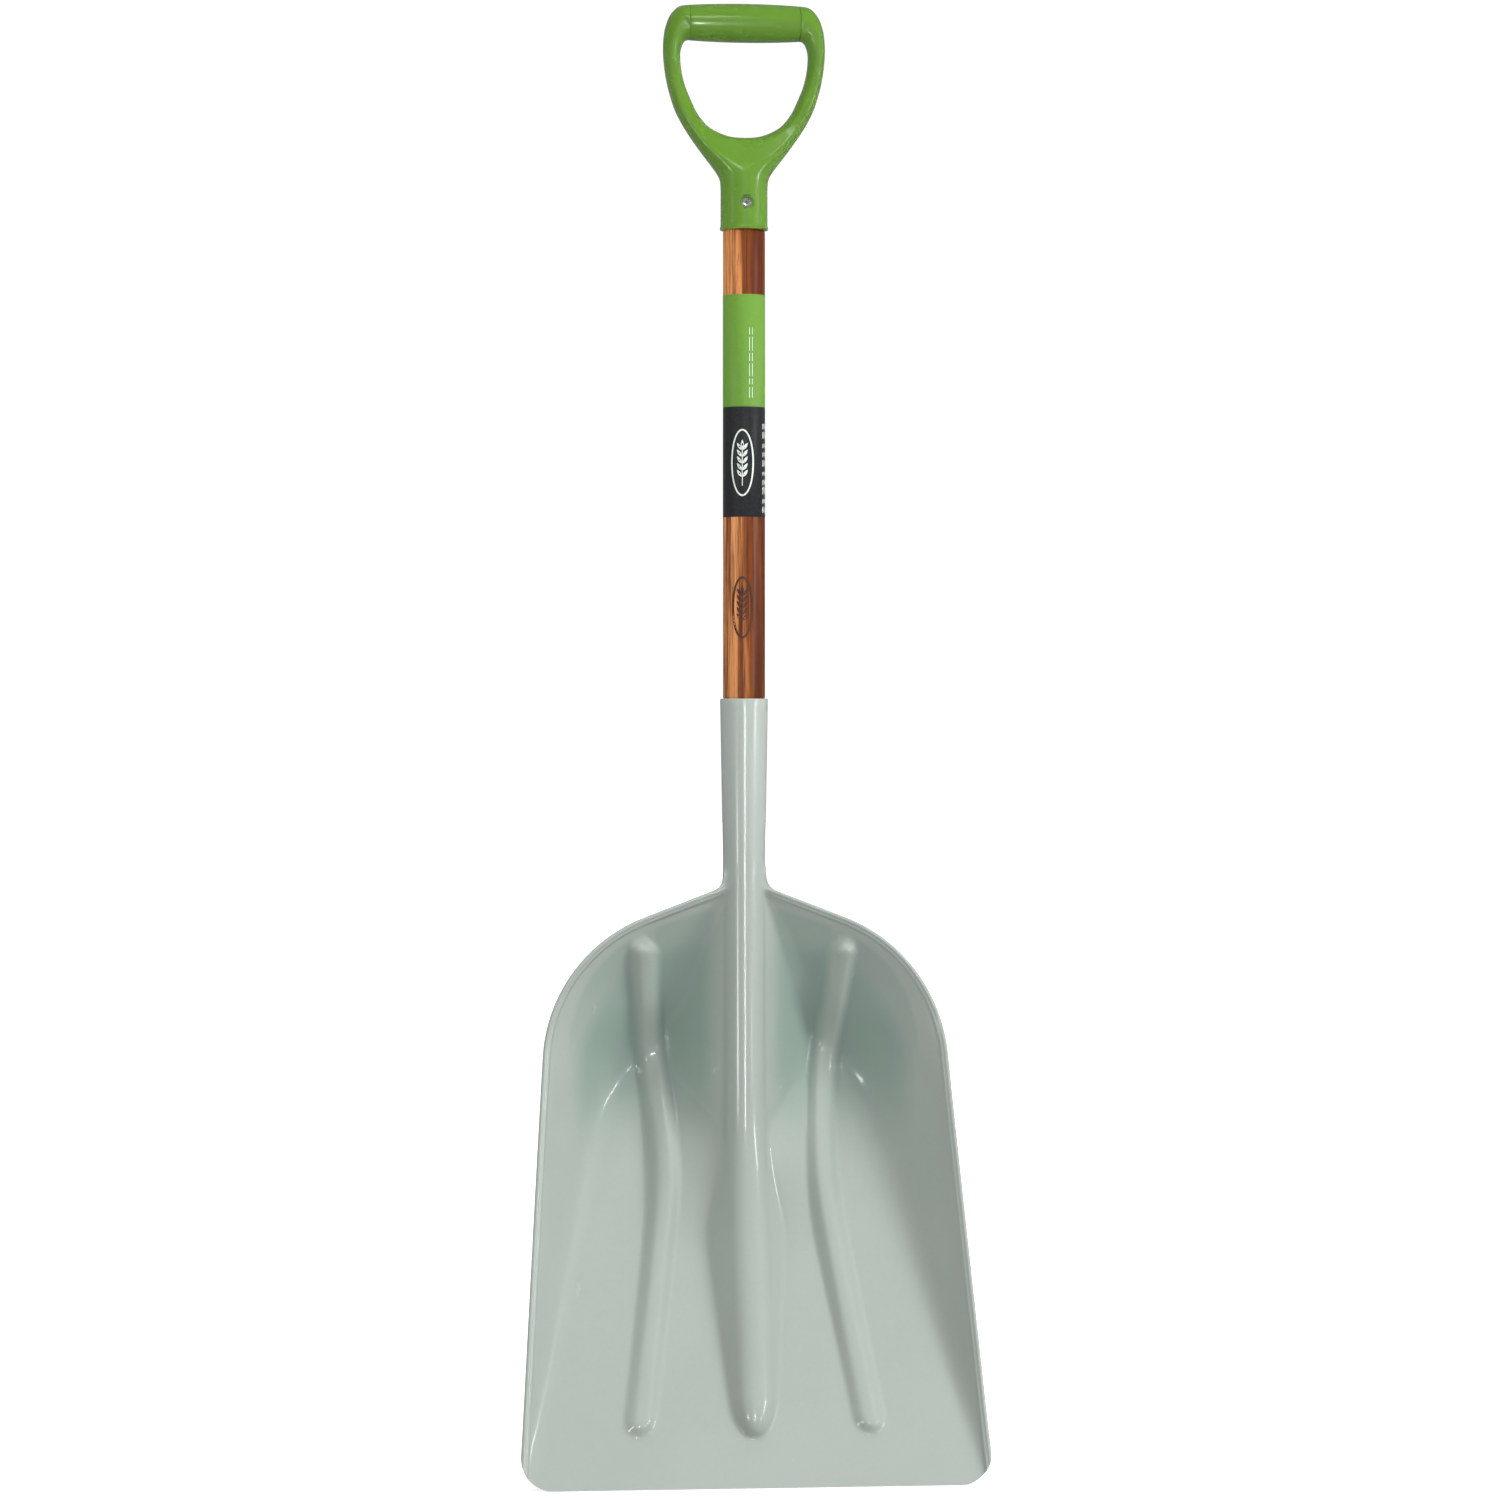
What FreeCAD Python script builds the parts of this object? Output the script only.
import FreeCAD, Part
import math
import os

from FreeCAD import Vector

# Scoop shovel with a D-grip.  Millimetres, +Z up along the shaft, -Y is the front
# (the open side of the scoop), X = 0 is the mirror plane, Z = 0 is the cutting edge.
# The Y origin is the middle of the whole object's depth, so the shaft stands at SHAFT_Y.

# ---- driving dimensions: overall -------------------------------------------------
TOTAL_HEIGHT = 1270.0
EDGE_REACH = 108.0          # cutting edge, ahead of the shaft's axis
HEEL_REACH = 51.0           # rear of the scoop's heel, behind the shaft's axis
SHAFT_Y = (EDGE_REACH - HEEL_REACH) / 2

# ---- driving dimensions: scoop ---------------------------------------------------
WALL = 3.2                  # moulded wall, square to the surface
SIDE_FOOT_HALF = 202.2      # half width of the side lines where they reach Z = 0
SIDE_TILT = math.radians(4.18)
SHOULDER_TILT = math.radians(21.06)
SHOULDER_APEX_Z = 513.0     # where the two shoulder lines would meet
SHOULDER_RADIUS = 138.5
CORNER_RADIUS = 26.0        # front corners of the cutting edge
NECK_RADIUS = 14.0          # blend from the shoulders into the socket
LIP_WIDTH = 6.2             # flat band along the sides and the shoulders
LIP_STEP = 2.4              # how far the pan drops behind that band
LIP_STEP_RUN = 6.0
RIM_SLOPE = 0.263           # forward lean of the side rims
RIM_KNEE_Z = 392.0          # above this the rim stands upright
RIM_KNEE_SOFT = 70.0
RIM_SETBACK = 5.0
FLOOR_SLOPE = 0.46
BACK_SLOPE = 0.365
BACK_TOP_Y = -0.3
BACK_TOP_Z = 508.0
SIDE_WALL_SLOPE = 1.2
SIDE_WALL_EASING = 0.55     # how much gentler the walls are beside the shoulders
BAY_SLOPE = 0.5             # rise of the pan towards the ridge, between the side ribs
BAY_REACH = 66.0
BAY_CORNER_Z = 416.0
RIDGE_BEND_Z = 278.0        # below this the central ridge leans forward
RIDGE_LEAN = 0.349
RIDGE_FULL_R = 21.0         # the ridge's largest crown radius, and where it is reached
RIDGE_FULL_Z = 182.0
RIDGE_NARROWING = 0.026
RIDGE_TIP_Z = 42.0
RIDGE_TIP_RUN = 32.0
RIDGE_TIP_DROP = 13.0
TUBE_SHARE = 0.94           # share of the radius that is round, beside the socket
FLANK_SHARE = 0.8           # the same near the floor, where the flanks are gentler
WEB_SLOPE = 1.1
SIDE_RIB_WAIST = 69.5
SIDE_RIB_WAIST_Z = 258.0
SIDE_RIB_HALF = 14.5
SIDE_RIB_TOP_Z = 446.0
SIDE_RIB_FOOT_Z = 56.0
SIDE_RIB_HEIGHT = 10.5

# ---- driving dimensions: socket and shaft ----------------------------------------
SOCKET_MOUTH_Z = 668.4
SOCKET_MOUTH_R = 20.75
SOCKET_NECK_Z = 520.0
SOCKET_NECK_R = 18.2
SOCKET_FOOT_Z = 497.0       # where the socket's round wall ends behind the ridge
NOSE_FOOT_Z = 450.0         # lower tip of the nose that closes the socket
NOSE_FOOT_Y = -13.0         # the tip's depth from the shaft's axis
NOSE_FOOT_R = 3.0
SHAFT_R = 18.2
SHAFT_FOOT_Z = 500.0
BORE_FLOOR_Z = 499.5
TENON_MOUTH_R = 17.6
TENON_FOOT_R = 13.9
TENON_STEP = 1.5
FIT_GAP = 0.05

# ---- driving dimensions: D-grip --------------------------------------------------
GRIP_MOUTH_Z = 1073.7
GRIP_SOCKET_R = 20.35
GRIP_BORE_TOP_Z = 1126.0
GRIP_TENON_R = 17.3
BAR_R_MIDDLE = 16.8
BAR_R_END = 15.3
BAR_HALF = 48.0
BAR_Z = TOTAL_HEIGHT - BAR_R_MIDDLE
BAR_WALL = 2.6
BAR_END_GAP = 0.15

# ---- driving dimensions: fasteners and label -------------------------------------
RIVET_Z = 1096.5
RIVET_R = 2.5
RIVET_HEAD_R = 4.4
COUNTERBORE_R = 5.1
COUNTERBORE_DEPTH = 1.4
SCREW_Z = 586.0
SCREW_R = 2.4
SCREW_HEAD_R = 4.6
SCREW_LENGTH = 19.0
LABEL_TOP_Z = 1017.4
LABEL_FOOT_Z = 825.2
LABEL_THICKNESS = 0.15


# ---- small helpers ---------------------------------------------------------------
def soft_min(a, b, width):
    """Smaller of a and b, rounded over a band where they differ by less than width."""
    h = max(width - abs(a - b), 0.0) / width
    return min(a, b) - h * h * width / 4


def soft_ramp(value, width):
    """0 for low values, value for high ones, rounded over width at 0."""
    return (value + math.sqrt(value * value + width * width)) / 2


def smooth_step(value):
    """0 below 0, 1 above 1, with a smooth passage between."""
    t = min(max(value, 0.0), 1.0)
    return t * t * (3 - 2 * t)


def lathe(points, centre_y):
    """Solid of revolution about the vertical axis at centre_y from (radius, z) points."""
    corners = [Vector(r, centre_y, z) for r, z in points]
    face = Part.Face(Part.makePolygon(corners + corners[:1]))
    return face.revolve(Vector(0, centre_y, 0), Vector(0, 0, 1), 360)


def mirrored(shape):
    return shape.mirror(Vector(0, 0, 0), Vector(1, 0, 0))


def oval(centre, side, half_side, half_depth, power=2.0, steps=16):
    """Closed smooth wire: half_side along the vector side, half_depth along Y."""
    points = []
    for i in range(steps):
        angle = 2 * math.pi * i / steps
        c = math.cos(angle)
        s = math.sin(angle)
        u = math.copysign(abs(s) ** (2 / power), s) * half_side
        v = math.copysign(abs(c) ** (2 / power), c) * half_depth
        points.append(centre + side * u + Vector(0, v, 0))
    curve = Part.BSplineCurve()
    curve.interpolate(points, PeriodicFlag=True)
    return Part.Wire(curve.toShape())


# ---- scoop -----------------------------------------------------------------------
def side_normal():
    return math.cos(SIDE_TILT), math.sin(SIDE_TILT)


def shoulder_normal():
    return math.sin(SHOULDER_TILT), math.cos(SHOULDER_TILT)


def shoulder_centre():
    """Centre of the shoulder arc, tangent to the side line and the shoulder line."""
    ax, az = side_normal()
    bx, bz = shoulder_normal()
    a = ax * SIDE_FOOT_HALF - SHOULDER_RADIUS
    b = bz * SHOULDER_APEX_Z - SHOULDER_RADIUS
    det = ax * bz - az * bx
    return (a * bz - az * b) / det, (ax * b - bx * a) / det


def inset(x, z):
    """Distance of a point inside the scoop's outline (side line, arc, shoulder line)."""
    ax, az = side_normal()
    bx, bz = shoulder_normal()
    cx, cz = shoulder_centre()
    from_side = ax * SIDE_FOOT_HALF - ax * abs(x) - az * z
    from_shoulder = bz * SHOULDER_APEX_Z - bx * abs(x) - bz * z
    dx = abs(x) - cx
    dz = z - cz
    beyond_side = ax * dz - az * dx > 0
    before_shoulder = bz * dx - bx * dz > 0
    if beyond_side and before_shoulder:
        return SHOULDER_RADIUS - math.hypot(dx, dz)
    return min(from_side, from_shoulder)


def rim_y(z):
    """Depth of the rim: leaning forward below the knee, upright above it."""
    drop = RIM_KNEE_Z - z
    return -RIM_SETBACK - RIM_SLOPE * (drop + math.hypot(drop, RIM_KNEE_SOFT)) / 2


def bay_rise(x, z):
    """How far the pan rises towards the ridge between the two side ribs."""
    above = z - BAY_CORNER_Z
    reach = BAY_REACH - 0.5 * max(above, 0.0) - 0.13 * min(above, 0.0)
    fade = smooth_step((z - 190.0) / 120.0) * smooth_step((520.0 - z) / 40.0)
    return BAY_SLOPE * fade * soft_ramp(reach - abs(x), 3.0)


def bowl_y(x, z):
    """Depth of the pan without ribs: floor, sloping back and flared walls, blended."""
    edge = inset(x, z)
    floor = FLOOR_SLOPE * z - EDGE_REACH - LIP_STEP
    back = BACK_TOP_Y + BACK_SLOPE * (BACK_TOP_Z - z)
    slope = SIDE_WALL_SLOPE - SIDE_WALL_EASING * smooth_step((z - 300.0) / 110.0)
    wall = rim_y(z) + slope * soft_ramp(edge - LIP_WIDTH, 3.0)
    pan = soft_min(floor, back, 32.0) - bay_rise(x, z)
    step = LIP_STEP * smooth_step((edge - LIP_WIDTH + LIP_STEP_RUN / 2) / LIP_STEP_RUN)
    return soft_min(pan, wall, 9.0 + 0.025 * max(z, 0.0)) + step


def ridge_front(z):
    """Depth of the ridge's crown line, which drops to the floor at the rounded tip."""
    below = soft_ramp(RIDGE_BEND_Z - z, 40.0)
    dip = 0.04 * soft_ramp(z - 498.0, 6.0)
    run = min(max((RIDGE_TIP_Z + RIDGE_TIP_RUN - z) / RIDGE_TIP_RUN, 0.0), 1.0)
    tip = RIDGE_TIP_DROP * (1 - math.sqrt(1 - 0.96 * run * run))
    past = 2.0 * max(RIDGE_TIP_Z - z, 0.0)
    return -SOCKET_NECK_R + 0.2 + dip - RIDGE_LEAN * below + tip + past


def ridge_radius(z):
    run = min(max((RIDGE_TIP_Z + RIDGE_TIP_RUN - z) / RIDGE_TIP_RUN, 0.0), 1.0)
    neck = SOCKET_NECK_R - 0.5
    radius = neck + (RIDGE_FULL_R - neck) * smooth_step((300.0 - z) / 130.0)
    radius = radius - RIDGE_NARROWING * soft_ramp(RIDGE_FULL_Z - z, 12.0)
    return radius * (1 - 0.4 * run * run)


def ridge_y(x, z):
    """Depth of the central ridge: a half round tube that stands on a sloping web."""
    radius = ridge_radius(z)
    share = TUBE_SHARE + (FLANK_SHARE - TUBE_SHARE) * smooth_step((310.0 - z) / 110.0)
    reach = abs(x)
    inside = min(reach, share * radius)
    crown = radius - math.sqrt(radius * radius - inside * inside)
    steep = share / math.sqrt(1 - share * share)
    tube = ridge_front(z) + crown + steep * (reach - inside)
    sunk = 30.0 * smooth_step((RIDGE_BEND_Z - z) / 100.0)
    web = max(WEB_SLOPE * (reach - 16.6), -2.0) - 6.3 + sunk
    return soft_min(tube, web, 4.0)


def side_rib_line(z):
    """Distance of a side rib's centre line from the mirror plane."""
    q = z - SIDE_RIB_WAIST_Z
    bend = math.hypot(q, 40.0) - 40.0
    return SIDE_RIB_WAIST + 0.14 * bend - 0.025 * q


def side_rib_height(x, z):
    """Height of a side rib over the pan: a D-shaped bar with rounded ends."""
    across = abs(x) - side_rib_line(z)
    along = max(z - SIDE_RIB_TOP_Z, SIDE_RIB_FOOT_Z - z, 0.0)
    s = math.hypot(across, along) / SIDE_RIB_HALF
    crown = max(soft_min(1.02 - s ** 2.6, 1.6 - 1.6 * s, 0.1), 0.0)
    span = (z - SIDE_RIB_FOOT_Z) / (SIDE_RIB_TOP_Z - SIDE_RIB_FOOT_Z)
    fullness = 0.62 + 0.38 * smooth_step(span / 0.45)
    return SIDE_RIB_HEIGHT * fullness * crown


def scoop_front_y(x, z):
    pan = bowl_y(x, z) - side_rib_height(x, z)
    return SHAFT_Y + soft_min(pan, ridge_y(x, z), 5.0)


def scoop_rear_y(x, z):
    step = 0.5
    across = (scoop_front_y(x + step, z) - scoop_front_y(x - step, z)) / (2 * step)
    along = (scoop_front_y(x, z + step) - scoop_front_y(x, z - step)) / (2 * step)
    return scoop_front_y(x, z) + WALL * math.sqrt(1 + across * across + along * along)


def sheet_face(depth):
    """Smooth face through depth(x, z) over a rectangle larger than the scoop."""
    columns = [-207.0 + 3.0 * i for i in range(139)]
    rows = [-10.0 + 4.0 * i for i in range(136)]
    grid = [[Vector(x, depth(x, z), z) for z in rows] for x in columns]
    surface = Part.BSplineSurface()
    surface.interpolate(grid)
    return surface.toShape()


def sheet_solid():
    """Closed sheet between the front and rear faces, still rectangular in outline."""
    front = sheet_face(scoop_front_y)
    rear = sheet_face(scoop_rear_y)
    sides = []
    for near, far in zip(front.Edges, rear.Edges):
        sides.append(Part.makeRuledSurface(near, far))
    shell = Part.makeShell([front, rear] + sides)
    shell.sewShape()
    solid = Part.makeSolid(shell)
    if solid.Volume < 0:
        solid.reverse()
    return solid


def scoop_outline():
    """Prism of the scoop's front outline, with rounded corners and neck blends."""
    ax, az = side_normal()
    bx, bz = shoulder_normal()
    cx, cz = shoulder_centre()
    neck_x = SOCKET_NECK_R + 0.3
    # front corner arc, tangent to Z = 0 and to the side line
    corner_z = CORNER_RADIUS
    corner_x = (ax * SIDE_FOOT_HALF - CORNER_RADIUS - az * corner_z) / ax
    # neck arc, tangent to the upright line beside the socket and to the shoulder line
    blend_x = neck_x + NECK_RADIUS
    blend_z = (bz * SHOULDER_APEX_Z + NECK_RADIUS - bx * blend_x) / bz

    def on(centre_x, centre_z, radius, angle):
        return Vector(centre_x + radius * math.cos(angle), 0, centre_z + radius * math.sin(angle))

    shoulder_angle = math.pi / 2 - SHOULDER_TILT
    corner = [on(corner_x, corner_z, CORNER_RADIUS, a)
              for a in (-math.pi / 2, (SIDE_TILT - math.pi / 2) / 2, SIDE_TILT)]
    shoulder = [on(cx, cz, SHOULDER_RADIUS, a)
                for a in (SIDE_TILT, (SIDE_TILT + shoulder_angle) / 2, shoulder_angle)]
    neck = [on(blend_x, blend_z, -NECK_RADIUS, a)
            for a in (shoulder_angle, shoulder_angle / 2, 0.0)]
    foot = Vector(0, 0, 0)
    crown = Vector(0, 0, neck[2].z)
    right = [
        Part.LineSegment(foot, corner[0]).toShape(),
        Part.Arc(*corner).toShape(),
        Part.LineSegment(corner[2], shoulder[0]).toShape(),
        Part.Arc(*shoulder).toShape(),
        Part.LineSegment(shoulder[2], neck[0]).toShape(),
        Part.Arc(*neck).toShape(),
        Part.LineSegment(neck[2], crown).toShape(),
    ]
    left = [mirrored(edge) for edge in right]
    wire = Part.Wire(Part.__sortEdges__(right + left))
    face = Part.Face(wire)
    face.translate(Vector(0, -200, 0))
    return face.extrude(Vector(0, 400, 0))


def socket_radius(z):
    taper = (SOCKET_MOUTH_R - SOCKET_NECK_R) / (SOCKET_MOUTH_Z - SOCKET_NECK_Z)
    return SOCKET_NECK_R + taper * (z - SOCKET_NECK_Z)


def socket_body():
    """Tapered socket, solid, closed below by a nose that slopes into the ridge."""
    tube = lathe([
        (0, SOCKET_FOOT_Z),
        (socket_radius(SOCKET_FOOT_Z), SOCKET_FOOT_Z),
        (SOCKET_NECK_R, SOCKET_NECK_Z),
        (SOCKET_MOUTH_R, SOCKET_MOUTH_Z - 1.0),
        (SOCKET_MOUTH_R - 0.8, SOCKET_MOUTH_Z),
        (0, SOCKET_MOUTH_Z),
    ], SHAFT_Y)
    root = Part.Wire(Part.makeCircle(
        socket_radius(SOCKET_FOOT_Z) - 1.0, Vector(0, SHAFT_Y, SOCKET_FOOT_Z + 1), Vector(0, 0, 1)))
    tip = Part.Wire(Part.makeCircle(
        NOSE_FOOT_R, Vector(0, SHAFT_Y + NOSE_FOOT_Y, NOSE_FOOT_Z), Vector(0, 0, 1)))
    return tube.fuse(Part.makeLoft([root, tip], True, True))


def socket_bore():
    """Tapered bore for the shaft's tenon."""
    return lathe([
        (0, BORE_FLOOR_Z),
        (TENON_FOOT_R + FIT_GAP, BORE_FLOOR_Z),
        (TENON_MOUTH_R + FIT_GAP, SOCKET_MOUTH_Z),
        (TENON_MOUTH_R + FIT_GAP, SOCKET_MOUTH_Z + 5),
        (0, SOCKET_MOUTH_Z + 5),
    ], SHAFT_Y)


def make_scoop():
    pan = sheet_solid().common(scoop_outline())
    screw_hole = Part.makeCylinder(SCREW_R, 40, Vector(0, SHAFT_Y, SCREW_Z), Vector(0, 1, 0))
    return pan.fuse(socket_body()).cut(socket_bore()).cut(screw_hole)


# ---- shaft -----------------------------------------------------------------------
def make_shaft():
    shaft = lathe([
        (0, SHAFT_FOOT_Z),
        (TENON_FOOT_R - 2, SHAFT_FOOT_Z),
        (TENON_FOOT_R, SHAFT_FOOT_Z + 2),
        (TENON_MOUTH_R, SOCKET_MOUTH_Z),
        (TENON_MOUTH_R, SOCKET_MOUTH_Z + 0.3),
        (SHAFT_R, SOCKET_MOUTH_Z + TENON_STEP),
        (SHAFT_R, GRIP_MOUTH_Z - TENON_STEP),
        (GRIP_TENON_R, GRIP_MOUTH_Z - 0.3),
        (GRIP_TENON_R, GRIP_BORE_TOP_Z - 3.5),
        (GRIP_TENON_R - 3, GRIP_BORE_TOP_Z - 0.5),
        (0, GRIP_BORE_TOP_Z - 0.5),
    ], SHAFT_Y)
    rivet_hole = Part.makeCylinder(
        RIVET_R, 60, Vector(0, SHAFT_Y - 30, RIVET_Z), Vector(0, 1, 0))
    screw_seat = screw_shank()
    return shaft.cut(rivet_hole).cut(screw_seat)


# ---- D-grip ----------------------------------------------------------------------
# Sections of the right arm: (outer x, outer z, inner x, inner z, half depth), from
# inside the yoke, up the arm, round the elbow and into the end of the hand bar.
ARM_SECTIONS = [
    (23.5, 1122.0, 1.0, 1141.0, 16.5),
    (38.0, 1141.5, 20.0, 1156.5, 14.0),
    (50.5, 1159.0, 35.5, 1168.5, 12.4),
    (59.5, 1175.5, 44.3, 1183.0, 11.8),
    (66.2, 1195.5, 51.6, 1200.0, 11.8),
    (69.7, 1215.0, 55.2, 1216.0, 12.2),
    (70.5, 1233.0, 55.0, 1230.0, 13.2),
    (68.0, 1251.0, 52.3, 1235.6, 14.4),
    (60.5, 1264.2, 50.0, 1237.3, 15.1),
    (48.0, 1268.5, 48.0, 1237.9, 15.3),
]
# Levels of the socket and yoke: (z, half width, half depth), up to the hand hole.
YOKE_LEVELS = [
    (GRIP_MOUTH_Z + 1.0, GRIP_SOCKET_R, GRIP_SOCKET_R),
    (1088.0, GRIP_SOCKET_R, GRIP_SOCKET_R),
    (1102.0, GRIP_SOCKET_R, GRIP_SOCKET_R),
    (1112.0, 20.5, 20.3),
    (1121.0, 22.4, 18.8),
    (1131.0, 27.5, 15.2),
    (1142.0, 35.5, 12.0),
    (1153.0, 43.5, 10.6),
    (1164.0, 50.0, 10.2),
]
# Right half of the hand hole's rounded part: (x, z)
HAND_HOLE = [
    (25.0, 1159.4), (33.5, 1165.2), (41.0, 1175.4), (47.0, 1187.4),
    (51.6, 1199.0), (54.6, 1211.0), (55.6, 1221.0), (54.6, 1231.0), (49.0, 1238.5),
]
HAND_HOLE_FOOT_Z = 1154.0


def grip_arm():
    """Right arm and elbow, lofted through oval sections square to the arm."""
    wires = []
    for outer_x, outer_z, inner_x, inner_z, half_depth in ARM_SECTIONS:
        outer = Vector(outer_x, SHAFT_Y, outer_z)
        inner = Vector(inner_x, SHAFT_Y, inner_z)
        side = outer - inner
        half_width = side.Length / 2
        side.normalize()
        wires.append(oval((outer + inner) / 2, side, half_width, half_depth))
    return Part.makeLoft(wires, True, False)


def grip_yoke():
    """Round socket that widens upwards into a flat fan between the feet of both arms."""
    across = Vector(1, 0, 0)
    wires = []
    for z, half_width, half_depth in YOKE_LEVELS:
        wires.append(oval(Vector(0, SHAFT_Y, z), across, half_width, half_depth))
    return Part.makeLoft(wires, True, False)


def hand_hole():
    """Prism of the D-shaped hand hole below the bar."""
    side = Part.BSplineCurve()
    side.interpolate([Vector(x, 0, z) for x, z in HAND_HOLE])
    foot_x, foot_z = HAND_HOLE[0]
    top_x, top_z = HAND_HOLE[-1]
    foot = Part.Arc(Vector(foot_x, 0, foot_z), Vector(0, 0, HAND_HOLE_FOOT_Z),
                    Vector(-foot_x, 0, foot_z))
    top = Part.LineSegment(Vector(top_x, 0, top_z), Vector(-top_x, 0, top_z))
    edges = [side.toShape(), mirrored(side.toShape()), foot.toShape(), top.toShape()]
    face = Part.Face(Part.Wire(Part.__sortEdges__(edges)))
    face.translate(Vector(0, SHAFT_Y - 40, 0))
    return face.extrude(Vector(0, 80, 0))


def make_grip_frame():
    arm = grip_arm()
    bead = lathe([
        (0, GRIP_MOUTH_Z),
        (GRIP_SOCKET_R + 0.5, GRIP_MOUTH_Z),
        (GRIP_SOCKET_R + 0.5, GRIP_MOUTH_Z + 2.4),
        (GRIP_SOCKET_R - 1.0, GRIP_MOUTH_Z + 4.0),
        (0, GRIP_MOUTH_Z + 4.0),
    ], SHAFT_Y)
    yoke = grip_yoke().cut(hand_hole())
    frame = yoke.fuse([bead, arm, mirrored(arm), bar_core()])
    bore = Part.makeCylinder(
        GRIP_TENON_R + FIT_GAP, GRIP_BORE_TOP_Z - GRIP_MOUTH_Z, Vector(0, SHAFT_Y, GRIP_MOUTH_Z))
    return frame.cut(bore).cut(rivet_hole_in_grip())


def rivet_hole_in_grip():
    through = Part.makeCylinder(RIVET_R, 60, Vector(0, SHAFT_Y - 30, RIVET_Z), Vector(0, 1, 0))
    depth = GRIP_SOCKET_R - COUNTERBORE_DEPTH
    front = Part.makeCylinder(
        COUNTERBORE_R, 20, Vector(0, SHAFT_Y - depth, RIVET_Z), Vector(0, -1, 0))
    rear = Part.makeCylinder(
        COUNTERBORE_R, 20, Vector(0, SHAFT_Y + depth, RIVET_Z), Vector(0, 1, 0))
    return through.fuse([front, rear])


def bar_radius(x):
    return BAR_R_MIDDLE - (BAR_R_MIDDLE - BAR_R_END) * (x / BAR_HALF) ** 2


def bar_core():
    """Cored beam inside the hand bar: a cross section with discs, as moulded."""
    inner = BAR_R_END - BAR_WALL - 0.1
    length = 2 * BAR_HALF + 2
    web = 4.0
    flat = Part.makeBox(length, 2 * inner - 1, web,
                        Vector(-length / 2, SHAFT_Y - inner + 0.5, BAR_Z - web / 2))
    upright = Part.makeBox(length, web, 2 * inner - 1,
                           Vector(-length / 2, SHAFT_Y - web / 2, BAR_Z - inner + 0.5))
    discs = []
    for x in (-32.0, 0.0, 32.0):
        discs.append(Part.makeCylinder(
            inner, 3.0, Vector(x - 1.5, SHAFT_Y, BAR_Z), Vector(1, 0, 0)))
    return flat.fuse([upright] + discs)


def bar_shells():
    """The hand bar's two half shells, split on the plane through the shaft's axis."""
    reach = BAR_HALF - BAR_END_GAP
    steps = 12
    outer = [Vector(-reach + 2 * reach * i / steps, SHAFT_Y,
                    BAR_Z + bar_radius(-reach + 2 * reach * i / steps))
             for i in range(steps + 1)]
    curve = Part.BSplineCurve()
    curve.interpolate(outer)
    inner_z = BAR_Z + BAR_R_END - BAR_WALL
    low = [Vector(reach, SHAFT_Y, inner_z), Vector(-reach, SHAFT_Y, inner_z)]
    edges = [
        curve.toShape(),
        Part.LineSegment(outer[-1], low[0]).toShape(),
        Part.LineSegment(low[0], low[1]).toShape(),
        Part.LineSegment(low[1], outer[0]).toShape(),
    ]
    face = Part.Face(Part.Wire(Part.__sortEdges__(edges)))
    sleeve = face.revolve(Vector(0, SHAFT_Y, BAR_Z), Vector(1, 0, 0), 360)
    halves = []
    for sign in (-1, 1):
        start_y = SHAFT_Y - 40 if sign < 0 else SHAFT_Y
        keep = Part.makeBox(200, 40, 80, Vector(-100, start_y, BAR_Z - 40))
        halves.append(sleeve.common(keep))
    return halves


# ---- fasteners and label ---------------------------------------------------------
def make_grip_rivet():
    """Semi-tubular rivet along Y: domed head at the rear, rolled hollow end in front."""
    seat = GRIP_SOCKET_R - COUNTERBORE_DEPTH
    rolled = [
        (0, -seat + 4.0), (1.3, -seat + 4.0), (1.3, -seat - 0.6), (2.0, -seat - 1.1),
        (3.2, -seat - 0.9), (RIVET_HEAD_R, -seat - 0.1), (RIVET_HEAD_R, -seat),
        (RIVET_R, -seat), (RIVET_R, seat), (RIVET_HEAD_R, seat), (RIVET_HEAD_R, seat + 0.3),
        (3.0, seat + 1.2), (0, seat + 1.6),
    ]
    return lathe_along_y(rolled, RIVET_Z)


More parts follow.
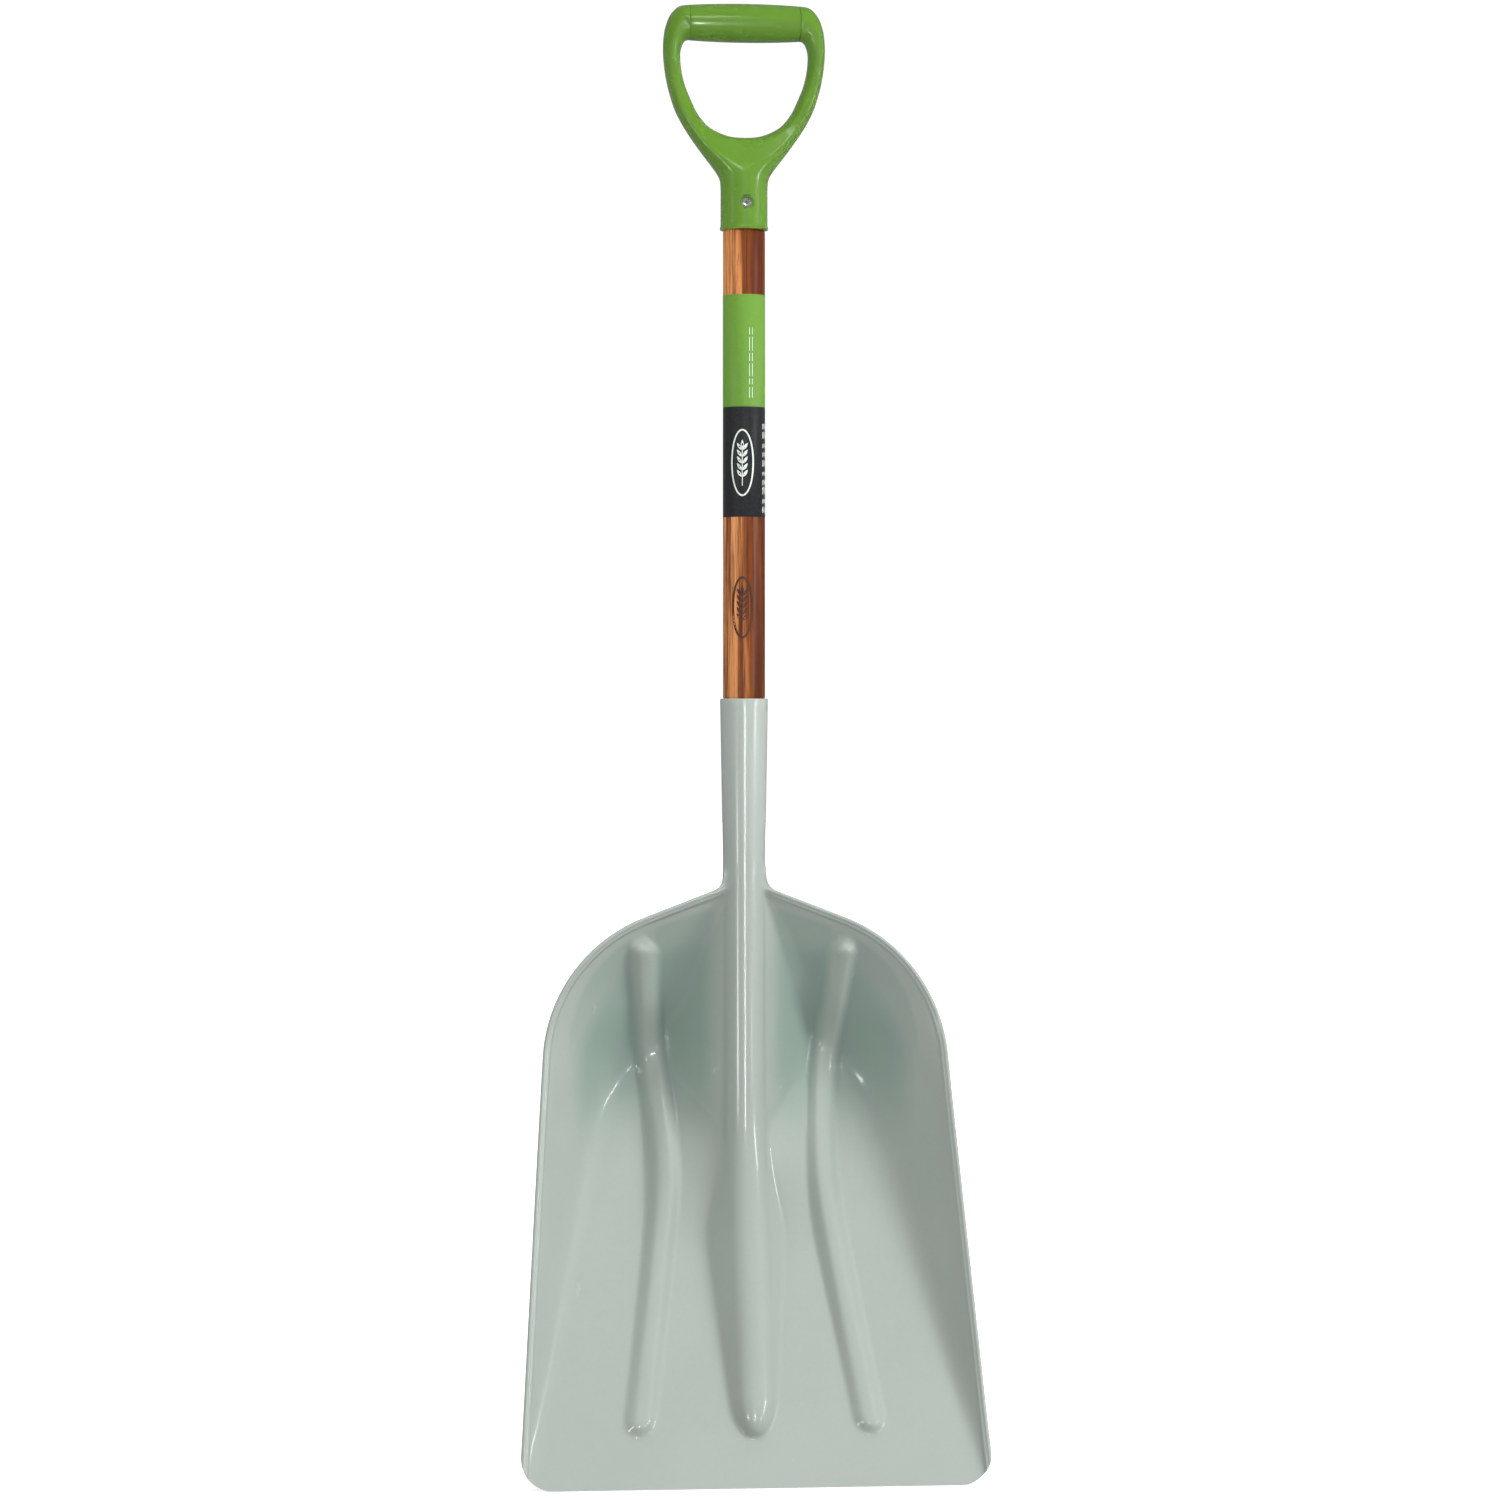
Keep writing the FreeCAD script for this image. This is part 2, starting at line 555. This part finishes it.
def lathe_along_y(points, z):
    corners = [Vector(r, SHAFT_Y + y, z) for r, y in points]
    face = Part.Face(Part.makePolygon(corners + corners[:1]))
    return face.revolve(Vector(0, SHAFT_Y, z), Vector(0, 1, 0), 360)


def screw_shank():
    seat = socket_radius(SCREW_Z)
    tip = seat - SCREW_LENGTH
    return lathe_along_y([(0, tip), (SCREW_R, tip + 3.5), (SCREW_R, seat + 0.4), (0, seat + 0.4)],
                         SCREW_Z)


def make_scoop_screw():
    """Pan-head screw with a cross recess, driven from the rear of the socket."""
    seat = socket_radius(SCREW_Z)
    head = lathe_along_y([
        (0, seat - 0.6), (SCREW_HEAD_R, seat - 0.6), (SCREW_HEAD_R, seat + 1.4),
        (SCREW_HEAD_R - 1.0, seat + 2.3), (0, seat + 2.6),
    ], SCREW_Z)
    slot_y = SHAFT_Y + seat + 1.2
    slots = []
    for wide, tall in ((5.0, 1.1), (1.1, 5.0)):
        slots.append(Part.makeBox(wide, 5, tall, Vector(-wide / 2, slot_y, SCREW_Z - tall / 2)))
    return head.fuse(screw_shank()).cut(slots[0]).cut(slots[1])


def make_wrap_label():
    return lathe([
        (SHAFT_R + 0.01, LABEL_FOOT_Z),
        (SHAFT_R + LABEL_THICKNESS, LABEL_FOOT_Z),
        (SHAFT_R + LABEL_THICKNESS, LABEL_TOP_Z),
        (SHAFT_R + 0.01, LABEL_TOP_Z),
    ], SHAFT_Y)


# ---- build -----------------------------------------------------------------------
def main():
    os.makedirs("parts", exist_ok=True)
    bar_front, bar_rear = bar_shells()
    parts = {
        "scoop": make_scoop(),
        "shaft": make_shaft(),
        "grip_frame": make_grip_frame(),
        "grip_bar_front": bar_front,
        "grip_bar_rear": bar_rear,
        "grip_rivet": make_grip_rivet(),
        "scoop_screw": make_scoop_screw(),
        "wrap_label": make_wrap_label(),
    }
    for name, shape in parts.items():
        box = shape.BoundBox
        print(name, "solids", len(shape.Solids), "valid", shape.isValid(),
              "volume %.0f" % shape.Volume,
              "x %.1f..%.1f y %.1f..%.1f z %.1f..%.1f" % (
                  box.XMin, box.XMax, box.YMin, box.YMax, box.ZMin, box.ZMax))
        shape.exportStep("parts/%s.step" % name)


main()
